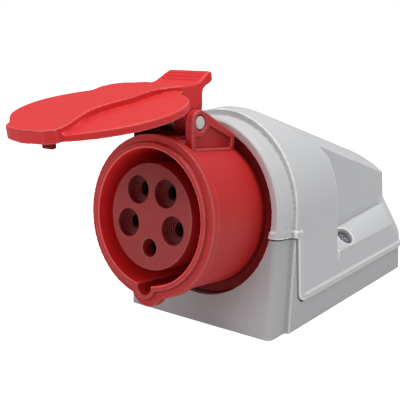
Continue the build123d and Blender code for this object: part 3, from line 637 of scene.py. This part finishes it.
# The solid's own screw recesses are filled, since the pits take their place
recess_axis = np.array([0.874, 0.0, 0.486])
recess_proud = 0.1
recess_mouth = np.array([39.67, 8.9, 29.38]) * mm + recess_axis * recess_proud * mm
recess_radius = 4.6 * mm
recess_depth = 3.8 * mm
recess_fill = [
    (recess_mouth * flip, recess_axis * flip, recess_radius, recess_depth) for flip in (np.ones(3), mirror)
]
softened(
    "housing_cover",
    "housing",
    lattice=0.45 * mm,
    passes=2,
    triangles=190000,
    rods=recess_fill,
    reshape=with_shoulders,
)

# Base: a wide relief behind the notch at the front edge
notch_cut = ((-12 * mm, -54.6 * mm, -1 * mm), (12 * mm, -36 * mm, 3.4 * mm))
softened("housing_base", "housing", lattice=0.5 * mm, passes=2, triangles=130000, cut=notch_cut)

# Socket body
softened("socket_body", "housing", lattice=0.38 * mm, passes=2, triangles=190000)


def screw_heads():
    """Two pan heads with cross slots, one in each pit, in millimetres.

    The head falls with the sixth power of the distance from its middle, and the
    slots are sunk where one of two crossed bars covers the surface.
    """
    head_radius = 3.5
    crown = 1.3
    fall = 0.9
    slot_depth = 0.9
    slot_half = (0.35, 0.6)
    slot_reach = (1.9, 2.3)
    skirt_foot = -1.0
    turns = 72
    rings = np.concatenate([np.linspace(0.02, 1, 26) * head_radius, [head_radius]])
    spin = np.linspace(0, 2 * np.pi, turns, endpoint=False)
    local_x = rings[:, None] * np.cos(spin)
    local_y = rings[:, None] * np.sin(spin)
    height = crown - fall * (rings[:, None] / head_radius) ** 6 + 0 * local_x
    bar_a = (1 - smooth_step(np.abs(local_x), *slot_half)) * (1 - smooth_step(np.abs(local_y), *slot_reach))
    bar_b = (1 - smooth_step(np.abs(local_y), *slot_half)) * (1 - smooth_step(np.abs(local_x), *slot_reach))
    height -= slot_depth * np.maximum(bar_a, bar_b)
    height[-1] = skirt_foot
    head_faces = [*ring_faces(len(rings), turns).tolist(), list(range(turns))]
    along_y = np.array([0.0, 1.0, 0.0])
    clouds = []
    faces = []
    for flip in (np.ones(3), mirror):
        out = pit_axis * flip
        rest = np.cross(along_y, out)
        foot = pit_place * flip - out * pit_depth
        shift = len(clouds) * local_x.size
        cloud = foot + local_x[..., None] * along_y + local_y[..., None] * rest + height[..., None] * out
        clouds.append(cloud)
        faces.extend([index + shift for index in face] for face in head_faces)
    piece = surface_piece("screw_heads", np.array(clouds) * mm, faces, zinc, steepest=50)
    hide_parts("cover_screws")
    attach(piece, "housing")


screw_heads()

# Lid, in millimetres from the hinge. reach runs to the tip, across to the right.
plate_reach = 41.0
plate_top = 12.9
panel_foot = 13.6
panel_skin = 14.6
arm_end = (8, 14)

# Depth by which the left outline is drawn in, by the angle from the tip in degrees
drawn_angle = [0, 12, 22, 33, 75, 90, 110, 125, 180]
drawn_depth = [0, 0, 2.0, 3.1, 3.1, 2.4, 1.2, 0, 0]
drawn_span = 6
drawn_from = 32.2
drawn_to = 36.1

# Bank between the panel and the plate: where it stands, and how far it moves to the right
bank_reach = [0, 5, 11, 18.5, 28, 36, 48, 64, 78, 84]
bank_across = [13.3, 13.3, 0.5, -0.7, 0.6, 1.3, 2.7, 9.7, 14.1, 15.5]
bank_shift = [0, 0, 2.6, 3.4, 3.2, 2.4, 2.2, 3.6, 4.6, 4.6]
bank_width = 6.0
bank_foot = (-0.6, 0.2)
tip_zone = (54, 64)
rim_zone = (32.4, 33.6)
dip_depth = 0.8
dip_width = 7


def with_flowing_bank(corners):
    """Draws in the left outline, moves the panel's bank sideways and dips the plate beside it.

    The outline moves towards the plate's middle by a depth that depends on the
    angle from the tip and fades from the full depth at the rim to nothing at
    the recess. The bank moves by a bell curve of the distance from it. Near
    the tip it moves along circles about the plate's middle, and the rim under
    it moves along. The dip falls off exponentially on the bank's right.
    """
    offset = (corners - hinge_place) / mm
    old_reach = offset @ lid_forward
    height = offset @ lid_up
    sideways = offset[:, 0].copy()

    # Outline
    radius = np.hypot(old_reach - plate_reach, sideways)
    angle = np.degrees(np.arctan2(-sideways, old_reach - plate_reach))
    turns = np.linspace(-drawn_span, drawn_span, 5)
    rounded = sum(np.interp(angle + turn, drawn_angle, drawn_depth) for turn in turns) / len(turns)
    depth = np.where(angle > 0, rounded, 0.0)
    drawn = 1 - depth * np.clip((radius - drawn_from) / (drawn_to - drawn_from), 0, 1) / np.maximum(radius, 1)
    sideways *= drawn
    reach = plate_reach + (old_reach - plate_reach) * drawn

    # Bank
    shift = np.interp(reach, bank_reach, bank_shift)
    bank = np.interp(reach, bank_reach, bank_across)
    top = smooth_step(height, plate_top, panel_foot)
    radius = np.hypot(reach - plate_reach, sideways)
    near_tip = smooth_step(reach, *tip_zone)
    rim = smooth_step(radius, *rim_zone) * near_tip
    sideways += shift * np.exp(-(((sideways - bank) / bank_width) ** 2)) * np.maximum(top, rim)
    new_radius = np.maximum(np.hypot(reach - plate_reach, sideways), 1)
    kept = 1 + near_tip * (np.minimum(radius / new_radius, 1) - 1)
    sideways *= kept
    reach = plate_reach + (reach - plate_reach) * kept

    # Dip
    right = sideways - bank - shift
    beside = top * (height < panel_skin) * smooth_step(right, *bank_foot) * smooth_step(reach, *arm_end)
    dip = dip_depth * beside * np.exp(-np.maximum(right, 0) / dip_width)
    moved = corners + np.outer(sideways - offset[:, 0], across) * mm
    return moved + (np.outer(reach - old_reach, lid_forward) - np.outer(dip, lid_up)) * mm


softened("lid", "lid", lattice=0.3 * mm, passes=3, triangles=150000, reshape=with_flowing_bank)

# Contact face: the four large holes get deep stepped linings
face_ahead = 36.0 * mm
pitch_radius = 13.4 * mm
hole_radius = 6.0 * mm
guide_radius = 3.3 * mm
step_margin = 0.1 * mm
step_top = 1 * mm
step_floor = 5.8 * mm
sunk_floor = 6.1 * mm
hole_angles = [radians(-90 + 72 * turn) for turn in range(1, 5)]
face_centre = mouth_centre + axis_out * (face_ahead - lip_ahead)

# Lining of a hole in millimetres, as radius and depth: rounded rim, deep wall, four steps, guide
lining_profile = [(6.25, -0.02), (6.1, 0.02), (6.0, 0.2), (5.95, 3.4), (5.15, 3.5), (5.1, 4.0)]
lining_profile += [(4.5, 4.1), (4.45, 4.6), (3.9, 4.7), (3.85, 5.2), (3.35, 5.3), (3.3, 6.3)]


def hole_centre(angle):
    """Middle of the contact hole at an angle round the face."""
    return face_centre + (across * cos(angle) + face_up * sin(angle)) * pitch_radius


def with_deep_holes(corners):
    """Sinks the shallow steps of the four large holes to one floor, so that their linings show."""
    moved = corners.copy()
    for angle in hole_angles:
        offset = moved - hole_centre(angle)
        depth = -(offset @ axis_out)
        reach = np.linalg.norm(offset + depth[:, None] * axis_out, axis=1)
        between_walls = (reach < hole_radius - step_margin) & (reach > guide_radius + step_margin)
        step = between_walls & (depth > step_top) & (depth < step_floor)
        moved[step] -= axis_out * (sunk_floor - depth[step])[:, None]
    return moved


def hole_lining(angle):
    """Lining of one hole: its profile of radius and depth turned about the hole's axis."""
    turns = 72
    rows = np.array(lining_profile) * mm
    spin = np.linspace(0, 2 * np.pi, turns, endpoint=False)
    ring = np.cos(spin)[:, None] * across + np.sin(spin)[:, None] * face_up
    corners = hole_centre(angle) + rows[:, None, :1] * ring[None] - rows[:, None, 1:] * axis_out
    facing_in = ring_faces(len(rows), turns)[:, [0, 3, 2, 1]]
    piece = surface_piece("hole_lining", corners, facing_in.tolist(), hole_red_in_painted_shade, steepest=35)
    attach(piece, "housing")


softened(
    "contact_face",
    "housing",
    lattice=0.3 * mm,
    passes=2,
    triangles=90000,
    reshape=with_deep_holes,
)
for angle in hole_angles:
    hole_lining(angle)


# Floor, backdrop and light

def light_room(ambient):
    """White room: a world that shows white to the camera and lights the part by the ambient level."""
    world = bpy.data.worlds.new("room")
    scene.world = world
    world.use_nodes = True
    tree = world.node_tree
    tree.nodes.clear()
    output = tree.nodes.new("ShaderNodeOutputWorld")
    paths = tree.nodes.new("ShaderNodeLightPath")
    seen = combined(tree, "MAXIMUM", paths.outputs["Is Camera Ray"], paths.outputs["Is Transmission Ray"])
    strength = tree.nodes.new("ShaderNodeMapRange")
    strength.inputs["To Min"].default_value = ambient
    strength.inputs["To Max"].default_value = 1.0
    tree.links.new(seen, strength.inputs["Value"])
    backdrop = tree.nodes.new("ShaderNodeBackground")
    backdrop.inputs["Color"].default_value = (1, 1, 1, 1)
    tree.links.new(strength.outputs["Result"], backdrop.inputs["Strength"])
    tree.links.new(backdrop.outputs["Background"], output.inputs["Surface"])


def soft_lamp(name, place, aim, width, power):
    """Square area lamp that faces a point."""
    lamp = bpy.data.lights.new(name, "AREA")
    lamp.size = width
    lamp.energy = power
    holder = bpy.data.objects.new(name, lamp)
    holder.location = place
    holder.rotation_euler = (Vector(aim) - Vector(place)).to_track_quat("-Z", "Y").to_euler()
    scene.collection.objects.link(holder)


def white_floor(reach, drop, tone):
    """Large floor that shows white to the camera and keeps the part's shadow."""
    mesh = bpy.data.meshes.new("floor")
    edge = [(-reach, -reach, 0), (reach, -reach, 0), (reach, reach, 0), (-reach, reach, 0)]
    mesh.from_pydata(edge, [], [(0, 1, 2, 3)])
    floor = bpy.data.objects.new("floor", mesh)
    floor.location = (0, 0, -drop)
    scene.collection.objects.link(floor)
    material = bpy.data.materials.new("white_floor")
    material.use_nodes = True
    tree = material.node_tree
    tree.nodes.clear()
    output = tree.nodes.new("ShaderNodeOutputMaterial")
    matt = tree.nodes.new("ShaderNodeBsdfDiffuse")
    matt.inputs["Color"].default_value = (tone, tone, tone, 1)
    glow = tree.nodes.new("ShaderNodeEmission")
    glow.inputs["Strength"].default_value = 1.0
    paths = tree.nodes.new("ShaderNodeLightPath")
    both = tree.nodes.new("ShaderNodeAddShader")
    choose = tree.nodes.new("ShaderNodeMixShader")
    tree.links.new(matt.outputs[0], both.inputs[0])
    tree.links.new(glow.outputs[0], both.inputs[1])
    tree.links.new(paths.outputs["Is Camera Ray"], choose.inputs[0])
    tree.links.new(matt.outputs[0], choose.inputs[1])
    tree.links.new(both.outputs[0], choose.inputs[2])
    tree.links.new(choose.outputs[0], output.inputs["Surface"])
    mesh.materials.append(material)


light_room(ambient=0.36)
white_floor(reach=3.0, drop=0.1 * mm, tone=0.75)
soft_lamp("overhead", place=(0.2, 0.0, 0.95), aim=(0, 0, 0.05), width=0.6, power=6.7)
soft_lamp("front", place=(-0.3, -0.95, 0.4), aim=(0, -0.03, 0.05), width=0.7, power=2.1)

# Camera at the photograph's place
view_azimuth = radians(40.47)
view_height = radians(14.62)
view_roll = radians(-2.53)
view_across = 18.63 * mm
view_up = 61.93 * mm
view_distance = 358.72 * mm
view_shift_y = -85.43 * mm
focal_pixels = 811.16
photo_pixels = 400
sensor = 36.0


def photo_camera():
    """Camera turned by azimuth, height and roll about the part, then moved along its own axes."""
    right = Vector((cos(view_azimuth), sin(view_azimuth), 0))
    level = cos(view_height)
    back = Vector((sin(view_azimuth) * level, -cos(view_azimuth) * level, sin(view_height)))
    up = back.cross(right)
    rolled_right = right * cos(view_roll) + up * sin(view_roll)
    rolled_up = up * cos(view_roll) - right * sin(view_roll)
    lens = bpy.data.cameras.new("photo_view")
    lens.sensor_width = sensor
    lens.lens = focal_pixels / photo_pixels * sensor
    lens.clip_start = 0.01
    camera = bpy.data.objects.new("photo_view", lens)
    place = rolled_right * view_across + rolled_up * view_up + back * view_distance
    place += Vector((0, view_shift_y, 0))
    turn = Matrix((rolled_right, rolled_up, back)).transposed().to_4x4()
    camera.matrix_world = Matrix.Translation(place) @ turn
    scene.collection.objects.link(camera)
    scene.camera = camera


photo_camera()
scene.view_settings.view_transform = "Standard"
